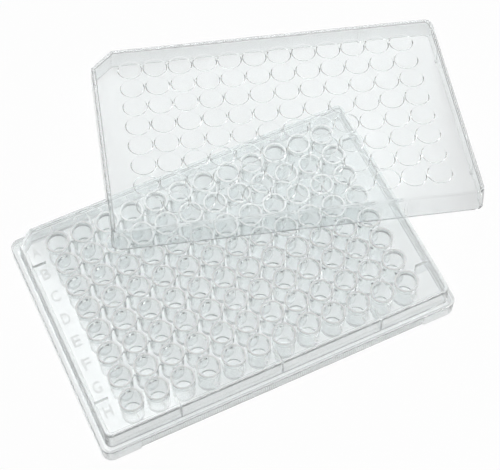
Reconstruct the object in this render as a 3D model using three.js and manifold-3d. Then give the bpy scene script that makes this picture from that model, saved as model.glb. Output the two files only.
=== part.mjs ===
// A 96-well plate of clear moulded polystyrene, with its lid lying askew on it.
//
// The plate stands on the floor with its rows running along X and row A at the back (+Y).
// The lid has been lifted off and put down turned, so that it leans: its left skirt lies on the
// plate's back edge, its front skirt on the rims of the last column's wells, and its far right
// corner is on the floor. Units are millimetres, +Z is up, and the origin is under the middle
// of the whole.

import * as THREE from "three";
import { mergeGeometries, mergeVertices } from "three/addons/utils/BufferGeometryUtils.js";
import Module from "manifold-3d";

// ---------------------------------------------------------------- the well grid
const columns = 12;
const rows = 8;
const tubeGap = 0.8; // between the rims of neighbouring wells
const endMargin = 14.38; // outer column's centres to the flange's end face
const sideMargin = 11.24; // outer row's centres to the flange's side face

// ---------------------------------------------------------------- wells
const mouthRadius = 3.45;
const boreFootRadius = 3.2;
const boreDepth = 10.7;
const boreFloor = 1.2; // thickness under the well
const wellWall = 0.65;
const rimRise = 1.45; // rims above the deck

// ---------------------------------------------------------------- plate body
const plateHeight = 14.2; // floor to the well rims
const deckThickness = 1.2;
const webWidth = 1.7; // the webs that the deck leaves between neighbouring wells
const wall = 1.2;
const edgeRise = 0.95; // the wall's top edge above the deck
const wallDraft = 0.5; // how much the wall leans out between its top and the flange
const flangeHeight = 6.1;
const ledge = 1.95; // the flat step around the foot of the wall
const flangeCorner = 3.2;
const wallCorner = 2.4;
const cutCornerX = 5.2; // the cut corner beside well A1
const cutCornerY = 4.4;
const cornerFoot = 12.4; // how much of each long side, from its ends, stands on the floor
const reliefHeight = 1.2;

// ---------------------------------------------------------------- ribs
const ribEvery = 4; // columns from one rib to the next on the long sides
const ribRows = 1; // rows from each end of the short sides to a rib
const gussetThickness = 0.9; // the plate's ribs, between its deck and its wall
const gussetLength = 4.6;
const gussetRise = 5; // underside above the floor
const lidRibWidth = 1; // the lid's ribs, inside its skirt
const lidRibDepth = 0.3;

// ---------------------------------------------------------------- lid
const lidClearance = 0.5; // around the foot of the plate's wall
const lidWall = 1.1;
const lidTop = 1;
const lidFootGap = 0.5; // from the ledge up to the skirt when the lid is on the plate
const lidDraft = 0.5;
const lidCorner = 3;
const lidCut = 7.5;
const lidRound = 0.8; // rounding of the upper outer edge
const lidFillet = 0.6; // rounding where the skirt meets the top, inside
const ringGap = 0.16; // between the condensation rings of neighbouring wells
const ringWidth = 0.6;
const ringHeight = 0.3;

// ---------------------------------------------------------------- where the lid lies
const lidTurn = -16.4; // degrees about +Z
const lidAcross = 37.8; // lid's middle from the plate's middle, along X
const lidBack = 40.2; // and along Y
const restGap = 0.3; // kept between the lid and the plate

// ---------------------------------------------------------------- facets
const cornerFacets = 4;
const boreFacets = 12;
const tubeFacets = 8;
const ringFacets = 8;
const overlap = 0.4; // how far a cutter or a joined solid runs past the face it meets

// ---------------------------------------------------------------- derived sizes
const rimRadius = mouthRadius + wellWall;
const tubeFootRadius = boreFootRadius + wellWall;
const pitch = 2 * rimRadius + tubeGap;
const gridX = ((columns - 1) * pitch) / 2;
const gridY = ((rows - 1) * pitch) / 2;
const flangeX = gridX + endMargin;
const flangeY = gridY + sideMargin;
const wallFootX = flangeX - ledge;
const wallFootY = flangeY - ledge;
const wallTopX = wallFootX - wallDraft;
const wallTopY = wallFootY - wallDraft;
const deckTop = plateHeight - rimRise;
const deckUnder = deckTop - deckThickness;
const wallTop = deckTop + edgeRise;
const ledgeUnder = flangeHeight - wall;
const boreBottom = plateHeight - boreDepth;
const tubeBottom = boreBottom - boreFloor;
const lidFootX = wallFootX + lidClearance + lidWall;
const lidFootY = wallFootY + lidClearance + lidWall;
const lidUnder = plateHeight - flangeHeight - lidFootGap + ringHeight;
const lidHeight = lidUnder + lidTop;
const ringRadius = (pitch - ringGap) / 2;
const ribY = gridY - (ribRows - 0.5) * pitch;
const ribsAlongX = [];
for (let column = 2; column < columns; column += ribEvery) {
  ribsAlongX.push((column - 0.5) * pitch - gridX);
}

const wasm = await Module();
wasm.setup();

// ---------------------------------------------------------------- outlines
// Points around a corner's quarter circle, anticlockwise from the angle `from`.
function quarter(centreX, centreY, radius, from) {
  return Array.from({ length: cornerFacets + 1 }, (_, i) => {
    const angle = from + (Math.PI / 2) * (i / cornerFacets);
    return new THREE.Vector2(centreX + radius * Math.cos(angle), centreY + radius * Math.sin(angle));
  });
}

// A rectangle with rounded corners. `cut` gives the size of a straight cut at the back left one.
function outline(halfX, halfY, radius, cut) {
  const backLeft = cut
    ? [new THREE.Vector2(-halfX + cut.x, halfY), new THREE.Vector2(-halfX, halfY - cut.y)]
    : quarter(-halfX + radius, halfY - radius, radius, Math.PI / 2);
  return [
    ...quarter(halfX - radius, halfY - radius, radius, 0),
    ...backLeft,
    ...quarter(-halfX + radius, -halfY + radius, radius, Math.PI),
    ...quarter(halfX - radius, -halfY + radius, radius, (3 * Math.PI) / 2),
  ];
}

// The outline set in by `inset` all round: a cut corner's two ends move by less than the sides.
function insetOutline(halfX, halfY, radius, cut, inset) {
  const slant = cut && Math.hypot(cut.x, cut.y);
  const smaller = cut && {
    x: cut.x - inset * ((cut.x + cut.y - slant) / cut.y),
    y: cut.y - inset * ((cut.x + cut.y - slant) / cut.x),
  };
  return outline(halfX - inset, halfY - inset, Math.max(radius - inset, radius / 4), smaller);
}

// A polygon with the area of the circle. Half a facet's turn keeps a flat, not a corner, towards
// the neighbouring well.
function circle(radius, facets) {
  const step = (2 * Math.PI) / facets;
  const reach = radius * Math.sqrt(step / Math.sin(step));
  return Array.from({ length: facets }, (_, i) => {
    const angle = (i + 0.5) * step;
    return new THREE.Vector2(reach * Math.cos(angle), reach * Math.sin(angle));
  });
}

// ---------------------------------------------------------------- solids
// A closed solid through level outlines, lowest first, all with the same number of points.
function loft(levels) {
  const count = levels[0].points.length;
  const positions = levels.flatMap(({ points, z }) => points.flatMap((p) => [p.x, p.y, z]));
  const index = [];
  for (let level = 0; level + 1 < levels.length; level += 1) {
    for (let i = 0; i < count; i += 1) {
      const a = level * count + i;
      const b = level * count + ((i + 1) % count);
      index.push(a, b, b + count);
      index.push(a, b + count, a + count);
    }
  }
  const last = (levels.length - 1) * count;
  for (const [a, b, c] of THREE.ShapeUtils.triangulateShape(levels[0].points, [])) {
    index.push(a, c, b);
  }
  for (const [a, b, c] of THREE.ShapeUtils.triangulateShape(levels.at(-1).points, [])) {
    index.push(last + a, last + b, last + c);
  }
  const geometry = new THREE.BufferGeometry();
  geometry.setAttribute("position", new THREE.Float32BufferAttribute(positions, 3));
  geometry.setIndex(index);
  return geometry;
}

function block(fromX, toX, fromY, toY, fromZ, toZ) {
  const geometry = new THREE.BoxGeometry(toX - fromX, toY - fromY, toZ - fromZ);
  return geometry.translate((fromX + toX) / 2, (fromY + toY) / 2, (fromZ + toZ) / 2);
}

// One geometry holding copies of `geometry` in a grid at the wells' pitch, centred on the plate.
function onGrid(geometry, across, deep) {
  const copies = [];
  for (let row = 0; row < deep; row += 1) {
    for (let column = 0; column < across; column += 1) {
      const x = (column - (across - 1) / 2) * pitch;
      const y = ((deep - 1) / 2 - row) * pitch;
      copies.push(geometry.clone().translate(x, y, 0));
    }
  }
  return mergeGeometries(copies);
}

function atEveryWell(geometry) {
  return onGrid(geometry, columns, rows);
}

function solid(geometry) {
  const bare = geometry.clone();
  bare.deleteAttribute("normal");
  bare.deleteAttribute("uv");
  const merged = mergeVertices(bare, 1e-4);
  return new wasm.Manifold(
    new wasm.Mesh({
      numProp: 3,
      vertProperties: new Float32Array(merged.attributes.position.array),
      triVerts: new Uint32Array(merged.index.array),
    }),
  );
}

function meshOf(body, name, material) {
  const { vertProperties, triVerts } = body.getMesh();
  const geometry = new THREE.BufferGeometry();
  geometry.setAttribute("position", new THREE.BufferAttribute(vertProperties, 3));
  geometry.setIndex(new THREE.BufferAttribute(triVerts, 1));
  const flat = geometry.toNonIndexed();
  flat.computeVertexNormals();
  const mesh = new THREE.Mesh(flat, material);
  mesh.name = name;
  return mesh;
}

// ---------------------------------------------------------------- the plate
const plateCut = { x: cutCornerX, y: cutCornerY };

// The drafted wall's outline at a height between the flange's top and the wall's own top.
function wallLevel(z, inset) {
  const lean = (wallDraft * (z - flangeHeight)) / (wallTop - flangeHeight);
  return {
    points: insetOutline(wallFootX - lean, wallFootY - lean, wallCorner, plateCut, inset),
    z,
  };
}

function plateShell() {
  const flange = solid(
    loft([
      { points: outline(flangeX, flangeY, flangeCorner), z: 0 },
      { points: outline(flangeX, flangeY, flangeCorner), z: flangeHeight },
    ]),
  );
  const wallBlock = solid(loft([wallLevel(flangeHeight - overlap, 0), wallLevel(wallTop, 0)]));
  const lowerHollow = solid(
    loft([
      { points: insetOutline(flangeX, flangeY, flangeCorner, undefined, wall), z: -overlap },
      { points: insetOutline(flangeX, flangeY, flangeCorner, undefined, wall), z: ledgeUnder },
    ]),
  );
  const upperHollow = solid(loft([wallLevel(ledgeUnder - overlap, wall), wallLevel(deckUnder, wall)]));
  const deckRecess = solid(loft([wallLevel(deckTop, wall), wallLevel(wallTop + overlap, wall)]));
  return flange.add(wallBlock).subtract(lowerHollow).subtract(upperHollow).subtract(deckRecess);
}

// Upright ribs that tie the deck to the wall, between columns and between rows.
function gussets() {
  const half = gussetThickness / 2;
  const top = deckUnder + overlap;
  const outerX = wallTopX - wall / 2;
  const outerY = wallTopY - wall / 2;
  const innerX = wallTopX - wall - gussetLength;
  const innerY = wallTopY - wall - gussetLength;
  const ribs = ribsAlongX.flatMap((x) => [
    block(x - half, x + half, innerY, outerY, gussetRise, top),
    block(x - half, x + half, -outerY, -innerY, gussetRise, top),
  ]);
  for (const y of [-ribY, ribY]) {
    ribs.push(block(innerX, outerX, y - half, y + half, gussetRise, top));
    ribs.push(block(-outerX, -innerX, y - half, y + half, gussetRise, top));
  }
  return solid(mergeGeometries(ribs));
}

// The deck is open in the middle of every four wells.
function deckGaps() {
  const reach = (pitch - webWidth) / 2;
  const points = [
    new THREE.Vector2(reach, 0),
    new THREE.Vector2(0, reach),
    new THREE.Vector2(-reach, 0),
    new THREE.Vector2(0, -reach),
  ];
  const gap = loft([
    { points, z: deckUnder - overlap },
    { points, z: deckTop + overlap },
  ]);
  return solid(onGrid(gap, columns - 1, rows - 1));
}

function wellTubes() {
  return solid(
    atEveryWell(
      loft([
        { points: circle(tubeFootRadius, tubeFacets), z: tubeBottom },
        { points: circle(rimRadius, tubeFacets), z: plateHeight },
      ]),
    ),
  );
}

function wellBores() {
  const lean = ((mouthRadius - boreFootRadius) * overlap) / boreDepth;
  return solid(
    atEveryWell(
      loft([
        { points: circle(boreFootRadius, boreFacets), z: boreBottom },
        { points: circle(mouthRadius + lean, boreFacets), z: plateHeight + overlap },
      ]),
    ),
  );
}

function reliefs() {
  const half = flangeX - cornerFoot;
  const outer = flangeY + overlap;
  const inner = flangeY - wall - overlap;
  return solid(
    mergeGeometries([
      block(-half, half, inner, outer, -overlap, reliefHeight),
      block(-half, half, -outer, -inner, -overlap, reliefHeight),
    ]),
  );
}

// ---------------------------------------------------------------- the lid
const lidCutCorner = { x: lidCut, y: lidCut };

function lidLevel(z, inset) {
  const lean = (lidDraft * z) / lidHeight;
  return { points: insetOutline(lidFootX - lean, lidFootY - lean, lidCorner, lidCutCorner, inset), z };
}

function lidInside(inset) {
  return solid(
    loft([
      lidLevel(-overlap, inset),
      lidLevel(lidUnder - lidFillet, inset),
      lidLevel(lidUnder, inset + lidFillet),
    ]),
  );
}

// Bars right across the lid, of which the lid keeps the ends as ribs on its skirt.
function lidBars() {
  const half = lidRibWidth / 2;
  const lengthwise = [-ribY, ribY].map((y) =>
    block(-lidFootX, lidFootX, y - half, y + half, -overlap, lidHeight),
  );
  const crosswise = ribsAlongX.map((x) =>
    block(x - half, x + half, -lidFootY, lidFootY, -overlap, lidHeight),
  );
  return solid(mergeGeometries(lengthwise)).add(solid(mergeGeometries(crosswise)));
}

function lidShell() {
  const outside = solid(
    loft([
      lidLevel(0, 0),
      lidLevel(lidHeight - lidRound, 0),
      lidLevel(lidHeight - lidRound * (1 - Math.SQRT1_2), lidRound * (1 - Math.SQRT1_2)),
      lidLevel(lidHeight, lidRound),
    ]),
  );
  const ribs = lidBars().subtract(lidInside(lidWall + lidRibDepth));
  return outside.subtract(lidInside(lidWall).subtract(ribs));
}

// A raised ring on the lid's underside over each well.
function lidRings() {
  const shape = new THREE.Shape(circle(ringRadius, ringFacets));
  shape.holes.push(new THREE.Path(circle(ringRadius - ringWidth, ringFacets)));
  const ring = new THREE.ExtrudeGeometry(shape, {
    depth: ringHeight + lidTop / 2,
    bevelEnabled: false,
    curveSegments: 1,
  });
  return solid(atEveryWell(ring.translate(0, 0, lidUnder - ringHeight)));
}

// The lid's foot is a plane through its three supports. Seen from above they are where its left
// skirt crosses the plate's back edge, where its front skirt crosses the last column's rims, and
// its far right corner. That corner is on the floor unless the plate's own back right corner
// comes up against the inside of the lid's top first.
function layLid(lid) {
  const turn = THREE.MathUtils.degToRad(lidTurn);
  const along = new THREE.Vector2(Math.cos(turn), Math.sin(turn));
  const across = new THREE.Vector2(-along.y, along.x);
  const middle = new THREE.Vector2(lidAcross, lidBack);
  const place = (x, y) => middle.clone().addScaledVector(along, x).addScaledVector(across, y);

  const left = place(lidWall - lidFootX, 0);
  const onBackEdge = left.addScaledVector(across, (wallTopY - left.y) / across.y);
  const front = place(0, lidWall - lidFootY);
  const onRims = front.addScaledVector(along, (gridX + rimRadius - front.x) / along.x);
  const cornerReach = lidCorner * (1 - Math.SQRT1_2);
  const onFloor = place(lidFootX - cornerReach, lidFootY - cornerReach);

  const first = new THREE.Vector3(onBackEdge.x, onBackEdge.y, wallTop + restGap);
  const second = new THREE.Vector3(onRims.x, onRims.y, plateHeight + restGap);
  const third = new THREE.Vector3(onFloor.x, onFloor.y, 0);
  const level = new THREE.Triangle(
    new THREE.Vector3(first.x, first.y, 0),
    new THREE.Vector3(second.x, second.y, 0),
    new THREE.Vector3(third.x, third.y, 0),
  );
  const share = level.getBarycoord(new THREE.Vector3(wallTopX, wallTopY, 0), new THREE.Vector3());
  const footNeeded = wallTop + restGap - (lidUnder - ringHeight);
  third.z = Math.max(0, (footNeeded - share.x * first.z - share.y * second.z) / share.z);

  const up = second.clone().sub(first).cross(third.clone().sub(first)).normalize();
  const heightAt = (x, y) => first.z - (up.x * (x - first.x) + up.y * (y - first.y)) / up.z;

  const lengthwise = new THREE.Vector3(along.x, along.y, 0);
  lengthwise.addScaledVector(up, -lengthwise.dot(up)).normalize();
  const crosswise = up.clone().cross(lengthwise);
  lid.quaternion.setFromRotationMatrix(new THREE.Matrix4().makeBasis(lengthwise, crosswise, up));
  lid.position.set(middle.x, middle.y, heightAt(middle.x, middle.y));
}

// ---------------------------------------------------------------- assembly
const clearPlastic = new THREE.MeshStandardMaterial({
  color: 0xdfe8e6,
  roughness: 0.12,
  metalness: 0,
  transparent: true,
  opacity: 0.45,
});
const lidPlastic = clearPlastic.clone();

const openDeck = plateShell().subtract(deckGaps());
const plateBody = openDeck.add(gussets()).add(wellTubes()).subtract(wellBores()).subtract(reliefs());
const plate = meshOf(plateBody, "plate", clearPlastic);
const lid = meshOf(lidShell().add(lidRings()), "lid", lidPlastic);
layLid(lid);

const wellPlate = new THREE.Group();
wellPlate.name = "well_plate";
wellPlate.add(plate, lid);
wellPlate.updateMatrixWorld(true);
const middle = new THREE.Box3().setFromObject(wellPlate, true).getCenter(new THREE.Vector3());
wellPlate.position.set(-middle.x, -middle.y, 0);

export default wellPlate;
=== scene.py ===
# %% [markdown]
# # A 96-well plate and its lid
#
# The real object is two thin injection mouldings in clear polystyrene. The plate is a
# shallow tray with a flange round its foot, a raised wall, a deck just below the wall's
# edge, and 96 small cups hanging from the deck. The lid is a plain tray turned upside
# down, with a low pad moulded over every cup. It has been lifted off and put down askew.
#
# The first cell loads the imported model. It is the fixed frame: every size and place
# below starts from its boxes, and nothing in it is moved.

# %% Load the fixed frame
import math

import bmesh
import bpy
import numpy as np
from mathutils import Matrix, Vector


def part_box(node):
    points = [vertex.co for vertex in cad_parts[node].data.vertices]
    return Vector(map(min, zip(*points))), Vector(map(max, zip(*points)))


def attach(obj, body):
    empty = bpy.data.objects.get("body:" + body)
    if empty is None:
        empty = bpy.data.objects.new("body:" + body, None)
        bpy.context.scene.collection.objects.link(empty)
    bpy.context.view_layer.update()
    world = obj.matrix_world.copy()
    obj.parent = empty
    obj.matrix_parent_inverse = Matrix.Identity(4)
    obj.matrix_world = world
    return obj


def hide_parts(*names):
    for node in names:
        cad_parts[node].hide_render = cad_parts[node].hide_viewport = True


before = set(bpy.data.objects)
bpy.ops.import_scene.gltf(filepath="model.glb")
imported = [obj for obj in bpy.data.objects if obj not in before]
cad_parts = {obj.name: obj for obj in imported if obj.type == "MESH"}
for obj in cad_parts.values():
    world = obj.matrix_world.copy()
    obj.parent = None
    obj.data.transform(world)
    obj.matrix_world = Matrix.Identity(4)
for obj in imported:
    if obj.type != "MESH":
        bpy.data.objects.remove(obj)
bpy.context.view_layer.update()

print("CAD nodes:", sorted(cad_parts))

# %% [markdown]
# ## Where the plate stands
#
# Each moulding is shaped on a bench of its own, in millimetres, with its middle on the
# bench's origin. Millimetres keep the numbers readable and suit the bevels and Booleans.
# A finished moulding is then set down on the frame, which shrinks it to metres and puts
# its place into its mesh, so that its object stays at the origin.

# %% The plate's place and outer sizes
MM = 0.001
plate_low, plate_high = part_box("plate")
plate_middle = Vector(((plate_low.x + plate_high.x) / 2, (plate_low.y + plate_high.y) / 2, plate_low.z))
plate_place = Matrix.Translation(plate_middle) @ Matrix.Scale(MM, 4)

flange_x = (plate_high.x - plate_low.x) / 2 / MM
flange_y = (plate_high.y - plate_low.y) / 2 / MM
rim_height = (plate_high.z - plate_low.z) / MM
print("plate middle:", [round(v, 5) for v in plate_middle])
plate_sizes = (flange_x, flange_y, rim_height)
print("plate half sizes and height in mm:", [round(size, 2) for size in plate_sizes])

# %% [markdown]
# The lid leans, so its box says little. Its own faces say more. The largest triangle of
# the CAD lid lies in its flat top and gives the direction up. The largest triangle that
# stands upright lies in a long side and gives the direction across. Measured along those
# directions, the lid's extents give its middle and its foot.

# %% The lid's place, from its own faces
lid_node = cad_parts["lid"].data
lid_up = max(lid_node.polygons, key=lambda face: face.area).normal.copy()
lid_up *= math.copysign(1, lid_up.z)
standing = [face for face in lid_node.polygons if abs(face.normal.dot(lid_up)) < 0.1]
lid_across = max(standing, key=lambda face: face.area).normal.copy()
lid_across = (lid_across - lid_up * lid_across.dot(lid_up)).normalized()
lid_across *= math.copysign(1, lid_across.y)
lid_along = lid_across.cross(lid_up)


def reach_along(direction):
    """Lowest and highest reach of the CAD lid along a direction."""
    places = [vertex.co.dot(direction) for vertex in lid_node.vertices]
    return min(places), max(places)


along_low, along_high = reach_along(lid_along)
across_low, across_high = reach_along(lid_across)
up_low, up_high = reach_along(lid_up)
lid_middle = (
    lid_along * (along_low + along_high) / 2
    + lid_across * (across_low + across_high) / 2
    + lid_up * up_low
)
lid_turn = Matrix((lid_along, lid_across, lid_up)).transposed().to_4x4()
lid_place = Matrix.Translation(lid_middle) @ lid_turn @ Matrix.Scale(MM, 4)

lid_foot_x = (along_high - along_low) / 2 / MM
lid_foot_y = (across_high - across_low) / 2 / MM
lid_height = (up_high - up_low) / MM
lean = math.degrees(lid_up.angle(Vector((0, 0, 1))))
lid_sizes = (lid_foot_x, lid_foot_y, lid_height)
print("lid half sizes and height in mm:", [round(size, 2) for size in lid_sizes])
print("lid leans by", round(lean, 2), "degrees")

# %% [markdown]
# ## Sizes of the mouldings
#
# The frame gives the outside. These are the sizes inside it, the same as the CAD part
# has: thin walls of one thickness, a slight draft so that the part leaves its mould, and
# small roundings, which catch the light and tell the eye that this is plastic.

# %% The well grid and the cups
COLUMNS = 12
ROWS = 8
PITCH = 9.0
grid_x = (COLUMNS - 1) * PITCH / 2
grid_y = (ROWS - 1) * PITCH / 2

rim_radius = 4.1
mouth_radius = 3.45
cup_foot_radius = 3.85
bore_foot_radius = 3.2
bore_depth = 10.7
bore_floor = 1.2
bore_bottom = rim_height - bore_depth
cup_bottom = bore_bottom - bore_floor
CUP_STEPS = 36

# %% The plate's walls and deck
WALL = 1.2
flange_height = 6.1
flange_corner = 3.2
ledge = 1.95
wall_corner = 2.4
wall_draft = 0.5
wall_cut = (5.2, 4.4)
wall_foot_x = flange_x - ledge
wall_foot_y = flange_y - ledge
rim_rise = 1.45
deck_thickness = 1.2
edge_rise = 0.95
deck_top = rim_height - rim_rise
deck_under = deck_top - deck_thickness
wall_top = deck_top + edge_rise
rib_columns = (-4, 0, 4)  # in pitches from the middle
rib_rows = (-3, 3)
CORNER_STEPS = 6
print("grid half sizes in mm:", grid_x, grid_y)
print("deck top at", round(deck_top, 2), "mm, wall top at", round(wall_top, 2), "mm")

# %% [markdown]
# ## Bench tools
#
# Nearly every shape here is an upright block with rounded corners whose sides lean or
# flare a little on the way up. One helper makes the block: a cube stretched to size, its
# upright edges bevelled round, one corner sliced off where the moulding has a cut corner.
# A second helper cuts the block into levels and moves its sides at each level. Draft,
# edge roundings and flares all come from that one list of levels.


# %% Blocks with rounded corners and shaped sides
PAST = 1  # how far a cutter or a joined shape runs past the face it meets
SAME_POINT = 1e-4  # points nearer than this are one


def whole(shape):
    """All the geometry of a bmesh, as the cutting operators want it."""
    return shape.verts[:] + shape.edges[:] + shape.faces[:]


def is_upright(edge):
    """True for an edge that stands straight up."""
    first, second = (vertex.co for vertex in edge.verts)
    return (first - second).to_2d().length < 1e-6


def round_edges(shape, edges, radius, steps):
    """Bevel some edges round."""
    bmesh.ops.bevel(
        shape, geom=edges, offset=radius, offset_type="OFFSET", segments=steps,
        profile=0.5, affect="EDGES", material=-1,
    )


def rounded_block(half_x, half_y, low, high, corner, cut=None):
    """An upright block with round corners and, if asked, its back left corner cut off."""
    block = bmesh.new()
    size = Matrix.Diagonal((2 * half_x, 2 * half_y, high - low, 1))
    bmesh.ops.create_cube(block, size=1, matrix=Matrix.Translation((0, 0, (low + high) / 2)) @ size)
    upright = [edge for edge in block.edges if is_upright(edge)]
    if cut:
        upright = [edge for edge in upright if not edge.verts[0].co.x < 0 < edge.verts[0].co.y]
    round_edges(block, upright, corner, CORNER_STEPS)
    if cut:
        sliced = bmesh.ops.bisect_plane(
            block, geom=whole(block), clear_outer=True,
            plane_co=(-half_x + cut[0], half_y, 0), plane_no=(-cut[1], cut[0], 0),
        )
        rim = [item for item in sliced["geom_cut"] if isinstance(item, bmesh.types.BMEdge)]
        bmesh.ops.edgeloop_fill(block, edges=rim)
    return block


def shape_sides(block, levels):
    """Move the sides outwards by the amount that (height, amount) pairs give, lowest first."""
    heights = [height for height, _ in levels]
    amounts = [amount for _, amount in levels]
    for height in heights:
        bmesh.ops.bisect_plane(
            block, geom=whole(block), plane_co=(0, 0, height), plane_no=(0, 0, 1), dist=1e-5,
        )
    for vertex in block.verts:
        amount = float(np.interp(vertex.co.z, heights, amounts))
        vertex.co.x += amount * math.copysign(1, vertex.co.x)
        vertex.co.y += amount * math.copysign(1, vertex.co.y)
    return block


def smaller_cut(cut, inset):
    """The size of a cut corner once the whole outline is set in."""
    slant = math.hypot(*cut)
    less = inset * (cut[0] + cut[1] - slant)
    return (cut[0] - less / cut[1], cut[1] - less / cut[0])


# %% [markdown]
# Shapes are joined and cut with Booleans. The Manifold solver is quick and always leaves
# a closed body, which clear plastic needs: light that enters must find a way out.


# %% Joining, cutting and repeating
def on_bench(shape, name):
    """An object in millimetres, from a finished bmesh."""
    mesh = bpy.data.meshes.new(name)
    shape.to_mesh(mesh)
    shape.free()
    piece = bpy.data.objects.new(name, mesh)
    bpy.context.scene.collection.objects.link(piece)
    return piece


def combine(body, shape, operation):
    """Join a shape to a body, or cut it away. The shape is used up."""
    tool = on_bench(shape, "tool")
    step = body.modifiers.new("combine", "BOOLEAN")
    step.object = tool
    step.operation = operation
    step.solver = "MANIFOLD"
    settled = body.evaluated_get(bpy.context.evaluated_depsgraph_get())
    body.data = bpy.data.meshes.new_from_object(settled)
    body.modifiers.clear()
    bpy.data.objects.remove(tool)


def on_grid(shape, across, deep):
    """Copies of a shape at the wells' pitch, centred on the bench."""
    single = bpy.data.meshes.new("single")
    shape.to_mesh(single)
    shape.free()
    copies = bmesh.new()
    for row in range(deep):
        for column in range(across):
            step = Matrix.Translation(
                ((column - (across - 1) / 2) * PITCH, ((deep - 1) / 2 - row) * PITCH, 0)
            )
            single.transform(step)
            copies.from_mesh(single)
            single.transform(step.inverted())
    return copies


def bar(shape, low_corner, high_corner, taper=1):
    """Add a straight bar to a bmesh, between two corners, its foot drawn in by a share."""
    low_corner, high_corner = Vector(low_corner), Vector(high_corner)
    size = Matrix.Diagonal((*(high_corner - low_corner), 1))
    middle = (low_corner + high_corner) / 2
    added = bmesh.ops.create_cube(shape, size=1, matrix=Matrix.Translation(middle) @ size)
    for vertex in added["verts"]:
        if vertex.co.z < middle.z:
            thin = min(range(2), key=lambda axis: high_corner[axis] - low_corner[axis])
            vertex.co[thin] = middle[thin] + (vertex.co[thin] - middle[thin]) * taper


# %% [markdown]
# ## The plate
#
# The flange is the thick skirt that the plate stands on. The wall rises from it, set back
# by a flat ledge that the lid's skirt hangs over, and the wall's back left corner is cut,
# so that a plate is never read the wrong way round. The flange's upper edge is rounded,
# and the wall meets the ledge in a small flare.

# %% The shell: flange, wall and ledge
flange = rounded_block(flange_x, flange_y, 0, flange_height, flange_corner)
edge_round = 0.4
ON_ARC = 0.3  # how far a rounding's middle point lies from its two faces, as a share
shape_sides(flange, [
    (flange_height - edge_round, 0),
    (flange_height - ON_ARC * edge_round, -ON_ARC * edge_round),
    (flange_height, -edge_round),
])
plate = on_bench(flange, "plate_moulding")

flare = 0.35
lip = 0.3
draft_at_lip = 0.96 * wall_draft  # the lean grows evenly with height
wall_levels = [
    (flange_height, flare),
    (flange_height + ON_ARC * flare, ON_ARC * flare),
    (flange_height + flare, 0),
    (wall_top - lip, -draft_at_lip),
    (wall_top - ON_ARC * lip, -wall_draft - ON_ARC * lip),
    (wall_top, -wall_draft - lip),
]
wall_block = rounded_block(
    wall_foot_x, wall_foot_y, flange_height - PAST, wall_top, wall_corner, wall_cut,
)
combine(plate, shape_sides(wall_block, wall_levels), "UNION")
print("shell faces:", len(plate.data.polygons))

# %% [markdown]
# The tray is hollow from below, in two steps that follow the flange and the wall, and it
# has a shallow recess on top, whose floor is the deck. The recess keeps a hairline
# rounding where it meets the deck and opens a little at its lip.

# %% Hollow the shell and sink the deck
lower_hollow = rounded_block(
    flange_x - WALL, flange_y - WALL, -PAST, flange_height - WALL, flange_corner - WALL,
)
combine(plate, lower_hollow, "DIFFERENCE")

inner_cut = smaller_cut(wall_cut, WALL)
inner_corner = wall_corner - WALL
upper_hollow = rounded_block(
    wall_foot_x - WALL, wall_foot_y - WALL, flange_height - WALL - PAST, deck_under,
    inner_corner, inner_cut,
)
draft_at_deck_under = 0.72 * wall_draft
shape_sides(upper_hollow, [(flange_height, 0), (deck_under, -draft_at_deck_under)])
combine(plate, upper_hollow, "DIFFERENCE")

deck_fillet = 0.2
draft_at_deck = 0.88 * wall_draft
draft_over_fillet = 0.9 * wall_draft
recess = rounded_block(
    wall_foot_x - WALL, wall_foot_y - WALL, deck_top, wall_top + PAST, inner_corner, inner_cut,
)
shape_sides(recess, [
    (deck_top, -draft_at_deck - deck_fillet),
    (deck_top + deck_fillet, -draft_over_fillet),
    (wall_top - 0.2, -wall_draft),
    (wall_top - 0.05, -wall_draft + 0.1),
    (wall_top + 0.3, -wall_draft + 0.25),
])
combine(plate, recess, "DIFFERENCE")
print("hollowed shell faces:", len(plate.data.polygons))

# %% [markdown]
# Ribs tie the deck to the wall between some of the columns and rows. They are hidden
# below the deck, but clear plastic shows them as dark upright lines. Each is drawn in
# towards its foot, as a moulded rib is.

# %% Ribs between the deck and the wall
rib_half = 0.45
rib_rise = 5.0
rib_reach = 4.6
rib_taper = 0.4
rib_top = deck_under + 0.4  # inside the deck, so that the two join
outer_x = wall_foot_x - wall_draft - WALL / 2
outer_y = wall_foot_y - wall_draft - WALL / 2
inner_x = outer_x - WALL / 2 - rib_reach
inner_y = outer_y - WALL / 2 - rib_reach
ribs = bmesh.new()
for middle in (column * PITCH for column in rib_columns):
    for near, far in ((inner_y, outer_y), (-outer_y, -inner_y)):
        low_corner = (middle - rib_half, near, rib_rise)
        bar(ribs, low_corner, (middle + rib_half, far, rib_top), rib_taper)
for middle in (row * PITCH for row in rib_rows):
    for near, far in ((inner_x, outer_x), (-outer_x, -inner_x)):
        low_corner = (near, middle - rib_half, rib_rise)
        bar(ribs, low_corner, (far, middle + rib_half, rib_top), rib_taper)
combine(plate, ribs, "UNION")
print("with ribs, faces:", len(plate.data.polygons))

# %% [markdown]
# The deck is open between every four cups, which saves plastic and keeps the cups apart.
# Each opening is a square standing on its corner, cut with a turned cube.

# %% Openings between the cups
web_width = 1.7
gap_side = (PITCH - web_width) / math.sqrt(2)
gap_depth = 3
gap = bmesh.new()
gap_size = Matrix.Diagonal((gap_side, gap_side, gap_depth, 1))
gap_turn = Matrix.Rotation(math.pi / 4, 4, "Z")
gap_place = Matrix.Translation((0, 0, (deck_top + deck_under) / 2)) @ gap_turn
bmesh.ops.create_cube(gap, size=1, matrix=gap_place @ gap_size)
combine(plate, on_grid(gap, COLUMNS - 1, ROWS - 1), "DIFFERENCE")
print("openings:", (COLUMNS - 1) * (ROWS - 1))

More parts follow.
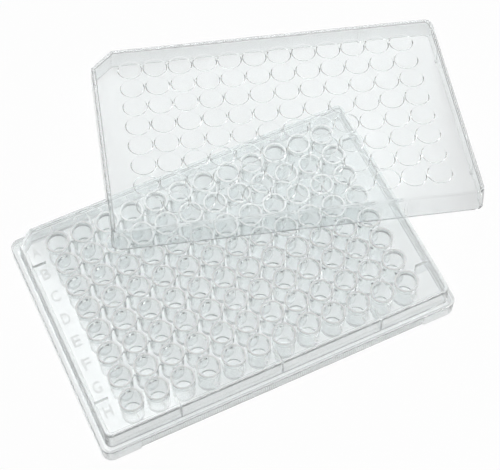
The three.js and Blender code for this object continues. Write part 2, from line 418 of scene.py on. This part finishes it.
# %% [markdown]
# ## The cups
#
# A cup is a turned shape: a line from the axis, out under the foot, up the outside, over
# the flat rim and down the inside, spun once round. Its four ring edges are then rounded,
# the inner foot much more than the others. The deck first gets a plain hole inside each
# cup's wall, and all 96 cups are joined to it in one Boolean.


# %% Turn one cup, round its edges and fill the grid
def turned(profile, steps):
    """Spin a line of (radius, height) points, from axis to axis, into a closed solid."""
    shape = bmesh.new()
    points = [shape.verts.new((radius, 0, height)) for radius, height in profile]
    lines = [shape.edges.new(pair) for pair in zip(points, points[1:])]
    bmesh.ops.spin(
        shape, geom=points + lines, cent=(0, 0, 0), axis=(0, 0, 1), dvec=(0, 0, 0),
        angle=2 * math.pi, steps=steps, use_merge=True,
    )
    bmesh.ops.remove_doubles(shape, verts=shape.verts[:], dist=SAME_POINT)
    bmesh.ops.recalc_face_normals(shape, faces=shape.faces[:])
    return shape


def ring_at(shape, radius, height):
    """The level ring of edges at a radius and a height."""
    return [
        edge for edge in shape.edges
        if all(
            abs(vertex.co.z - height) < 1e-3 and abs(vertex.co.to_2d().length - radius) < 1e-3
            for vertex in edge.verts
        )
    ]


cup = turned(
    [
        (0, cup_bottom), (cup_foot_radius, cup_bottom), (rim_radius, rim_height),
        (mouth_radius, rim_height), (bore_foot_radius, bore_bottom), (0, bore_bottom),
    ],
    CUP_STEPS,
)
for radius, height, rounding, steps in (
    (rim_radius, rim_height, 0.12, 3),
    (mouth_radius, rim_height, 0.08, 3),
    (bore_foot_radius, bore_bottom, 0.7, 4),
    (cup_foot_radius, cup_bottom, 0.2, 3),
):
    round_edges(cup, ring_at(cup, radius, height), rounding, steps)
print("faces in one cup:", len(cup.faces))

hole_radius = (mouth_radius + rim_radius) / 2
hole = turned(
    [
        (0, deck_under - PAST), (hole_radius, deck_under - PAST),
        (hole_radius, deck_top + PAST), (0, deck_top + PAST),
    ],
    CUP_STEPS,
)
combine(plate, on_grid(hole, COLUMNS, ROWS), "DIFFERENCE")
combine(plate, on_grid(cup, COLUMNS, ROWS), "UNION")
print("plate faces:", len(plate.data.polygons))

# %% [markdown]
# The flange's long sides stand clear of the floor between their ends, so that the plate
# can be lifted out of a stack, and their faces carry fine upright grooves for grip. A
# groove is a four-sided prism set half into the face, so it cuts a shallow V.

# %% Finger reliefs and grip grooves
corner_foot = 12.4
relief_height = 1.2
relief_past = 0.4  # how far the cut runs past each side of the flange's wall
relief_x = flange_x - corner_foot
relief = bmesh.new()
for side in (-1, 1):
    faces = (side * (flange_y - WALL - relief_past), side * (flange_y + relief_past))
    near, far = sorted(faces)
    bar(relief, (-relief_x, near, -PAST), (relief_x, far, relief_height))
combine(plate, relief, "DIFFERENCE")

groove_pitch = 0.75
groove_half = 0.3
groove_depth = 0.14
groove_top = flange_height - 0.9
grooves = bmesh.new()
count = int(2 * relief_x / groove_pitch)
groove_size = Matrix.Diagonal((groove_half, groove_depth, groove_top + PAST, 1))
for side in (-1, 1):
    for number in range(count):
        x = (number - (count - 1) / 2) * groove_pitch
        place = Matrix.Translation((x, side * flange_y, (groove_top - PAST) / 2))
        bmesh.ops.create_cone(
            grooves, cap_ends=True, segments=4, radius1=1, radius2=1, depth=1,
            matrix=place @ groove_size,
        )
combine(plate, grooves, "DIFFERENCE")
print("grooves:", 2 * count)

# %% [markdown]
# ## The lid
#
# The lid is a tray upside down, a little larger than the wall, with the same cut corner.
# Its upper edge is well rounded and it has a soft fillet inside. It is moulded from the
# middle of its top, where the gate leaves a small round mark.

# %% The lid's tray
LID_WALL = 1.1
lid_draft = 0.5
lid_corner = 3.0
lid_cut = (7.5, 7.5)
lid_thickness = 1.0
lid_under = lid_height - lid_thickness
top_round = 0.8
inside_fillet = 0.6
foot_round = 0.12


def leaned(height, amount=0):
    """One level of the lid's sides: its draft at a height, and an extra amount."""
    return (height, amount - lid_draft * height / lid_height)


def rounded_off(top, radius, points):
    """Levels that round the sides off into a flat top."""
    return [
        leaned(top - radius * (1 - math.sin(angle)), radius * (math.cos(angle) - 1))
        for angle in np.linspace(0, math.pi / 2, points)
    ]


tray = rounded_block(lid_foot_x, lid_foot_y, 0, lid_height, lid_corner, lid_cut)
foot_levels = [leaned(0, -foot_round), leaned(foot_round)]
shape_sides(tray, foot_levels + rounded_off(lid_height, top_round, 5))
lid = on_bench(tray, "lid_moulding")

inside = rounded_block(
    lid_foot_x - LID_WALL, lid_foot_y - LID_WALL, -PAST, lid_under,
    lid_corner - LID_WALL, smaller_cut(lid_cut, LID_WALL),
)
foot_levels = [leaned(-PAST, foot_round), leaned(0, foot_round), leaned(foot_round)]
shape_sides(inside, foot_levels + rounded_off(lid_under, inside_fillet, 4))
combine(lid, inside, "DIFFERENCE")
print("lid tray faces:", len(lid.data.polygons))

# %% [markdown]
# On the underside a low round pad sits over every cup. Its sloped edge is the ring that
# keeps the water that condenses there from running to the neighbour.

# %% Condensation rings
pad_low = lid_under - 0.3
pad_top = lid_under + 0.4  # inside the lid's top, so that the two join
pad_radius = 4.06
pad_foot = 4.42
pad = turned(
    [
        (0, pad_low), (pad_radius, pad_low),
        (pad_foot, lid_under), (pad_foot, pad_top), (0, pad_top),
    ],
    CUP_STEPS,
)
combine(lid, on_grid(pad, COLUMNS, ROWS), "UNION")
print("lid faces with rings:", len(lid.data.polygons))

# %% [markdown]
# Short ribs stand inside the skirt, in line with the plate's own, and the gate mark is a
# shallow dish in the top.

# %% Skirt ribs and gate mark
skirt_rib_half = 0.5
skirt_rib_foot = 0.3
skirt_rib_top = lid_under + 0.2
skirt_rib_face = LID_WALL + 0.5  # from the lid's foot in to the rib's face
skirt_rib_deep = 0.8
lid_ribs = bmesh.new()


def skirt_span(side, foot):
    """Where a skirt rib begins and ends across the side that it stands on."""
    face = foot - skirt_rib_face
    return sorted((side * face, side * (face + skirt_rib_deep)))


for side in (-1, 1):
    near, far = skirt_span(side, lid_foot_y)
    for middle in (column * PITCH for column in rib_columns):
        low_corner = (middle - skirt_rib_half, near, skirt_rib_foot)
        bar(lid_ribs, low_corner, (middle + skirt_rib_half, far, skirt_rib_top))
    near, far = skirt_span(side, lid_foot_x)
    for middle in (row * PITCH for row in rib_rows):
        low_corner = (near, middle - skirt_rib_half, skirt_rib_foot)
        bar(lid_ribs, low_corner, (far, middle + skirt_rib_half, skirt_rib_top))
combine(lid, lid_ribs, "UNION")

gate_radius = 1.6
gate_flat = 0.7 * gate_radius
gate_depth = 0.15
gate_edge = 0.02  # the dish's slope runs this far past the lid's top
gate = turned(
    [
        (0, lid_height - gate_depth), (gate_flat, lid_height - gate_depth),
        (gate_radius, lid_height + gate_edge), (gate_radius, lid_height + PAST),
        (0, lid_height + PAST),
    ],
    CUP_STEPS,
)
combine(lid, gate, "DIFFERENCE")
print("lid faces:", len(lid.data.polygons))

# %% [markdown]
# ## Row letters and column numbers
#
# The deck is marked A to H down its left side and 1 to 12 along its front and back. On
# the real plate the marks are raised by a hair and have a frosted face. Text becomes a
# mesh first, then each mark is moved to its place, and all of them make one thin piece.

# %% Text marks on the deck
mark_sink = 0.05
mark_raise = 0.08
mark_weight = 0.05
CAPITAL = 0.69  # a capital's height as a share of the font's size


def mark_mesh(words, height):
    """A mesh of solid letters of a given height, centred on the bench."""
    curve = bpy.data.curves.new("mark", "FONT")
    curve.body = words
    curve.size = height / CAPITAL
    curve.resolution_u = 3
    curve.extrude = (mark_sink + mark_raise) / 2
    curve.offset = mark_weight
    curve.align_x = "CENTER"
    letter = bpy.data.objects.new("mark", curve)
    bpy.context.scene.collection.objects.link(letter)
    settled = letter.evaluated_get(bpy.context.evaluated_depsgraph_get())
    mesh = bpy.data.meshes.new_from_object(settled)
    bpy.data.objects.remove(letter)
    mesh.transform(Matrix.Translation((0, -height / 2, 0)))
    return mesh


marks = bmesh.new()
mark_level = deck_top + (mark_raise - mark_sink) / 2
letter_x = -57.5
letter_high = 4.1
letter_wide = 2.8
number_y = 37.2
number_high = 2.3
for row in range(ROWS):
    mesh = mark_mesh("ABCDEFGH"[row], letter_high)
    reach = [vertex.co.x for vertex in mesh.vertices]
    mesh.transform(Matrix.Diagonal((letter_wide / (max(reach) - min(reach)), 1, 1, 1)))
    mesh.transform(Matrix.Translation((letter_x, grid_y - row * PITCH, mark_level)))
    marks.from_mesh(mesh)
for column in range(COLUMNS):
    for side in (-1, 1):
        mesh = mark_mesh(str(column + 1), number_high)
        mesh.transform(Matrix.Translation((column * PITCH - grid_x, side * number_y, mark_level)))
        marks.from_mesh(mesh)
bmesh.ops.remove_doubles(marks, verts=marks.verts[:], dist=SAME_POINT)
bmesh.ops.recalc_face_normals(marks, faces=marks.faces[:])
deck_marks = on_bench(marks, "deck_marks")
print("faces in the marks:", len(deck_marks.data.polygons))

# %% [markdown]
# ## Set the mouldings down
#
# Points that a Boolean left on top of each other become one. Each piece is then shrunk to
# metres and moved to its place on the frame. Faces shade smoothly except across real
# corners, and a Weighted Normal modifier keeps the broad flat faces flat where they meet
# a narrow rounding.


# %% Place, smooth and hand over
SHARP_DEGREES = 35  # a corner over this angle stays a corner


def set_down(piece, place):
    """Put a bench piece on the frame, with its place in its mesh."""
    shape = bmesh.new()
    shape.from_mesh(piece.data)
    bmesh.ops.remove_doubles(shape, verts=shape.verts[:], dist=SAME_POINT)
    shape.to_mesh(piece.data)
    shape.free()
    piece.data.transform(place)
    piece.data.materials.clear()
    for face in piece.data.polygons:
        face.use_smooth = True
        face.material_index = 0
    piece.data.set_sharp_from_angle(angle=math.radians(SHARP_DEGREES))
    even = piece.modifiers.new("even_normals", "WEIGHTED_NORMAL")
    even.mode = "FACE_AREA"
    even.keep_sharp = True
    triangles = sum(len(face.vertices) - 2 for face in piece.data.polygons)
    print(piece.name, "has", triangles, "triangles")


set_down(plate, plate_place)
set_down(lid, lid_place)
set_down(deck_marks, plate_place)

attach(plate, "root")
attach(lid, "root")
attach(deck_marks, "root")
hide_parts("plate")
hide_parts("lid")

# %% [markdown]
# ## Clear polystyrene
#
# Polystyrene is clearer than it looks: it bends light strongly, at an index of 1.59, and
# has a faint cool tint that shows only where light passes through many walls. Two things
# keep it from looking like perfect glass. The mould leaves a very fine haze, and the
# faces are never quite flat. Both effects are used by every plastic here, so they are one
# node group, and each material gives it its own amounts.


# %% The moulded finish, as a node group
def moulded_finish_group():
    """Haze in the roughness, a slow ripple in the normal, and a mask for the tint."""
    group = bpy.data.node_groups.new("moulded finish", "ShaderNodeTree")
    for name in ("Haze Scale", "Haze Least", "Haze Most", "Ripple Scale", "Ripple Height"):
        group.interface.new_socket(name=name, in_out="INPUT", socket_type="NodeSocketFloat")
    group.interface.new_socket(name="Roughness", in_out="OUTPUT", socket_type="NodeSocketFloat")
    group.interface.new_socket(name="Cloud", in_out="OUTPUT", socket_type="NodeSocketFloat")
    group.interface.new_socket(name="Normal", in_out="OUTPUT", socket_type="NodeSocketVector")
    nodes, links = group.nodes, group.links
    given = nodes.new("NodeGroupInput")
    result = nodes.new("NodeGroupOutput")
    place = nodes.new("ShaderNodeTexCoord")

    haze = nodes.new("ShaderNodeTexNoise")
    haze.inputs["Detail"].default_value = 4
    spread = nodes.new("ShaderNodeMapRange")
    spread.inputs["From Min"].default_value = 0.35
    spread.inputs["From Max"].default_value = 0.65
    links.new(place.outputs["Object"], haze.inputs["Vector"])
    links.new(given.outputs["Haze Scale"], haze.inputs["Scale"])
    links.new(haze.outputs["Fac"], spread.inputs["Value"])
    links.new(given.outputs["Haze Least"], spread.inputs["To Min"])
    links.new(given.outputs["Haze Most"], spread.inputs["To Max"])
    links.new(spread.outputs["Result"], result.inputs["Roughness"])

    ripple = nodes.new("ShaderNodeTexNoise")
    ripple.inputs["Detail"].default_value = 1
    bump = nodes.new("ShaderNodeBump")
    links.new(place.outputs["Object"], ripple.inputs["Vector"])
    links.new(given.outputs["Ripple Scale"], ripple.inputs["Scale"])
    links.new(ripple.outputs["Fac"], bump.inputs["Height"])
    links.new(given.outputs["Ripple Height"], bump.inputs["Distance"])
    links.new(ripple.outputs["Fac"], result.inputs["Cloud"])
    links.new(bump.outputs["Normal"], result.inputs["Normal"])
    return group


moulded_finish = moulded_finish_group()
print("group made:", moulded_finish.name)

# %% [markdown]
# The plastic itself is a Principled shader that passes nearly all its light and scatters
# the rest, which is the haze that lets clear walls be seen. Shadow rays get a plain
# tinted Transparent shader instead, so that the light reaches the floor under the plate
# and the cups inside it, as it does through the thin walls of the real thing.


# %% Plastics
def polystyrene(name, clarity, tint, deeper, haze, ripple, shade):
    """Clear plastic: clarity, two tints, (scale, least, most) haze, (scale, height) ripple."""
    material = bpy.data.materials.new(name)
    material.use_nodes = True
    nodes, links = material.node_tree.nodes, material.node_tree.links
    plastic = nodes["Principled BSDF"]
    plastic.inputs["IOR"].default_value = 1.59
    plastic.inputs["Transmission Weight"].default_value = clarity

    finish = nodes.new("ShaderNodeGroup")
    finish.node_tree = moulded_finish
    amounts = (*haze, *ripple)
    for socket, amount in zip(finish.inputs, amounts):
        socket.default_value = amount
    links.new(finish.outputs["Roughness"], plastic.inputs["Roughness"])
    links.new(finish.outputs["Normal"], plastic.inputs["Normal"])

    tone = nodes.new("ShaderNodeMix")
    tone.data_type = "RGBA"
    colours = [socket for socket in tone.inputs if socket.type == "RGBA"]
    colours[0].default_value = (*tint, 1)
    colours[1].default_value = (*deeper, 1)
    mixed = [socket for socket in tone.outputs if socket.type == "RGBA"][0]
    links.new(finish.outputs["Cloud"], tone.inputs["Factor"])
    links.new(mixed, plastic.inputs["Base Color"])

    rays = nodes.new("ShaderNodeLightPath")
    passing = nodes.new("ShaderNodeBsdfTransparent")
    passing.inputs["Color"].default_value = (*shade, 1)
    choice = nodes.new("ShaderNodeMixShader")
    links.new(rays.outputs["Is Shadow Ray"], choice.inputs["Fac"])
    links.new(plastic.outputs["BSDF"], choice.inputs[1])
    links.new(passing.outputs["BSDF"], choice.inputs[2])
    links.new(choice.outputs["Shader"], nodes["Material Output"].inputs["Surface"])
    return material


plate_plastic = polystyrene(
    "plate_plastic", 0.88, (0.972, 0.986, 0.988), (0.958, 0.976, 0.978),
    haze=(900, 0.03, 0.07), ripple=(70, 0.000015), shade=(0.95, 0.96, 0.96),
)
lid_plastic = polystyrene(
    "lid_plastic", 0.95, (0.972, 0.986, 0.988), (0.960, 0.977, 0.979),
    haze=(900, 0.02, 0.05), ripple=(55, 0.00001), shade=(0.96, 0.97, 0.97),
)
# A whiter, nearly opaque copy of the plastic for the rim tops: a painted highlight in place of the
# light carried up the walls.
painted_bright_rim_plastic = polystyrene(
    "painted_bright_rim_plastic", 0.05, (0.995, 1.000, 1.000), (0.985, 0.995, 0.995),
    haze=(2000, 0.2, 0.35), ripple=(200, 0.00001), shade=(0.9, 0.92, 0.92),
)
mark_plastic = polystyrene(
    "mark_plastic", 0.3, (0.985, 0.995, 0.995), (0.970, 0.985, 0.985),
    haze=(2500, 0.1, 0.2), ripple=(400, 0.00001), shade=(0.9, 0.92, 0.92),
)
plate.data.materials.append(plate_plastic)
plate.data.materials.append(painted_bright_rim_plastic)
lid.data.materials.append(lid_plastic)
deck_marks.data.materials.append(mark_plastic)

# %% [markdown]
# Seen from above, a rim is the end of a wall twelve millimetres deep, and light carried up
# that wall makes the rims look white. The faces on top of the rims get a whiter, nearly
# opaque copy of the plastic, a painted highlight that stands in for this light.

# %% Give the rims their painted-bright plastic
rim_depth = 0.13  # just more than the rim's roundings
rim_level = plate_low.z + (rim_height - rim_depth) * MM
# The rim tops get the whiter copy of the plastic, which paints the rims bright.
rim_faces = [face for face in plate.data.polygons if face.center.z > rim_level]
for face in rim_faces:
    face.material_index = 1
print("rim faces:", len(rim_faces))

# %% [markdown]
# ## The studio
#
# The floor is a large pale sheet. Seen straight on it is white. Seen through the plastic
# it is a soft grey-white, partly its own shine and partly the light that falls on it, so
# it keeps the object's shadow. The floor inside the plate's foot, which the lens sees
# through the deck's openings, has only the light that falls on it.

# %% Floor
DIRECT_SHINE = 0.96  # the floor's own shine, as a share, where the lens sees it directly
THROUGH_SHINE = 0.2  # and where plastic is in between


def calculate(tree, operation, *given):
    """A Math node's result. What is given is a socket to link, or a number."""
    node = tree.nodes.new("ShaderNodeMath")
    node.operation = operation
    for socket, value in zip(node.inputs, given):
        if isinstance(value, bpy.types.NodeSocket):
            tree.links.new(value, socket)
        else:
            socket.default_value = value
    return node.outputs["Value"]


floor_sheet = bmesh.new()
bmesh.ops.create_grid(floor_sheet, x_segments=1, y_segments=1, size=3)
floor = on_bench(floor_sheet, "floor")

floor_paint = bpy.data.materials.new("floor_paint")
floor_paint.use_nodes = True
tree = floor_paint.node_tree
paint = tree.nodes["Principled BSDF"]
paint.inputs["Base Color"].default_value = (0.9, 0.9, 0.9, 1)
paint.inputs["Roughness"].default_value = 1
paint.inputs["Specular IOR Level"].default_value = 0
shine = tree.nodes.new("ShaderNodeEmission")

rays = tree.nodes.new("ShaderNodeLightPath")
through = calculate(
    tree, "MAXIMUM", rays.outputs["Is Transmission Ray"], rays.outputs["Is Glossy Ray"],
)
through_shine = calculate(tree, "MULTIPLY", through, THROUGH_SHINE)

place = tree.nodes.new("ShaderNodeTexCoord")
from_plate = tree.nodes.new("ShaderNodeVectorMath")
from_plate.operation = "SUBTRACT"
from_plate.inputs[1].default_value = plate_middle
tree.links.new(place.outputs["Object"], from_plate.inputs[0])
sides = tree.nodes.new("ShaderNodeSeparateXYZ")
tree.links.new(from_plate.outputs["Vector"], sides.inputs["Vector"])
beyond = []
for axis, reach in (("X", flange_x), ("Y", flange_y)):
    away = calculate(tree, "ABSOLUTE", sides.outputs[axis])
    beyond.append(calculate(tree, "GREATER_THAN", away, (reach - WALL) * MM))
outside = calculate(tree, "MAXIMUM", *beyond)
open_floor = calculate(tree, "MULTIPLY", rays.outputs["Is Camera Ray"], outside)
direct_shine = calculate(tree, "MULTIPLY", open_floor, DIRECT_SHINE)

blend = tree.nodes.new("ShaderNodeMixShader")
tree.links.new(calculate(tree, "MAXIMUM", direct_shine, through_shine), blend.inputs["Fac"])
tree.links.new(paint.outputs["BSDF"], blend.inputs[1])
tree.links.new(shine.outputs["Emission"], blend.inputs[2])
tree.links.new(blend.outputs["Shader"], tree.nodes["Material Output"].inputs["Surface"])
floor.data.materials.append(floor_paint)

# %% [markdown]
# Clear plastic shows its surroundings more than itself. A room that is brighter overhead
# and darker towards the horizon gives every edge a dark line and every flat face a calm
# tone. The room's light is a smooth gradient by direction, and it is white for the camera.

# %% Room light
room = bpy.data.worlds.new("room")
bpy.context.scene.world = room
room.use_nodes = True
nodes, links = room.node_tree.nodes, room.node_tree.links
brightest = Vector((0.3, 0.5, 0.8)).normalized()
direction = nodes.new("ShaderNodeTexCoord")
towards = nodes.new("ShaderNodeVectorMath")
towards.operation = "DOT_PRODUCT"
towards.inputs[1].default_value = brightest
fade = nodes.new("ShaderNodeMapRange")
fade.interpolation_type = "SMOOTHSTEP"
fade.inputs["From Min"].default_value = -0.2
fade.inputs["From Max"].default_value = 0.9
fade.inputs["To Min"].default_value = 0.03
fade.inputs["To Max"].default_value = 0.3
rays = nodes.new("ShaderNodeLightPath")
seen = nodes.new("ShaderNodeMix")
seen.data_type = "FLOAT"
seen.inputs["B"].default_value = 1
links.new(direction.outputs["Generated"], towards.inputs[0])
links.new(towards.outputs["Value"], fade.inputs["Value"])
links.new(rays.outputs["Is Camera Ray"], seen.inputs["Factor"])
links.new(fade.outputs["Result"], seen.inputs["A"])
links.new(seen.outputs["Result"], nodes["Background"].inputs["Strength"])
nodes["Background"].inputs["Color"].default_value = (1, 1, 1, 1)

# %% [markdown]
# ## Camera
#
# The camera looks down steeply from the front left with a long lens, from about half a
# metre, at a point a little right of the plate's middle.

# %% Camera
aim = plate_middle + Vector((11.50, 9.30, 8.0)) * MM
azimuth = math.radians(-25.20)
elevation = math.radians(61.33)
distance = 0.52485
towards_camera = Vector((
    math.sin(azimuth) * math.cos(elevation),
    -math.cos(azimuth) * math.cos(elevation),
    math.sin(elevation),
))
lens = bpy.data.cameras.new("camera")
lens.sensor_width = 36
lens.lens = 110.9
lens.clip_start = 0.01
camera = bpy.data.objects.new("camera", lens)
bpy.context.scene.collection.objects.link(camera)
camera.location = aim + towards_camera * distance
camera.rotation_euler = (-towards_camera).to_track_quat("-Z", "Y").to_euler()
bpy.context.scene.camera = camera
print("camera at", [round(v, 4) for v in camera.location])

# %% [markdown]
# One large softbox hangs above and behind. The flat deck mirrors it, which turns the
# deck's left part white, as on the real plate. A second one stands off to the front
# right, where no flat face mirrors it into the lens, and lights the haze in the plastic.
# The third stands where the leaning lid mirrors it, a pale sheen over the whole lid.


# %% Softboxes
def add_softbox(name, offset, size, power):
    """A square lamp at an offset from the plate's middle, turned to face it."""
    light = bpy.data.lights.new(name, "AREA")
    light.size = size
    light.energy = power
    softbox = bpy.data.objects.new(name, light)
    bpy.context.scene.collection.objects.link(softbox)
    softbox.location = plate_middle + Vector(offset)
    softbox.rotation_euler = (plate_middle - softbox.location).to_track_quat("-Z", "Y").to_euler()
    print(name, "at", [round(v, 3) for v in softbox.location])


add_softbox("back_softbox", (-0.28, 0.47, 1.0), size=0.64, power=2.6)
add_softbox("front_softbox", (0.55, -0.35, 0.85), size=0.4, power=4.1)
mirrored = (lid_middle - camera.location).normalized().reflect(lid_up)
lid_softbox_away = 1.1
lid_softbox_offset = lid_middle - plate_middle + lid_softbox_away * mirrored
add_softbox("lid_softbox", lid_softbox_offset, size=0.55, power=0.5)

# %% [markdown]
# ## Light paths and colour
#
# Light is trapped inside clear walls for many bounces, and cutting those paths short
# paints black arcs at the rims, so the bounce limits are high. Colour management stays
# plain, so that a colour renders as it is written.

# %% Light paths and view
cycles = bpy.context.scene.cycles
cycles.max_bounces = 96
cycles.transmission_bounces = 96
cycles.glossy_bounces = 96
cycles.transparent_max_bounces = 32
cycles.diffuse_bounces = 4
bpy.context.scene.view_settings.view_transform = "Standard"
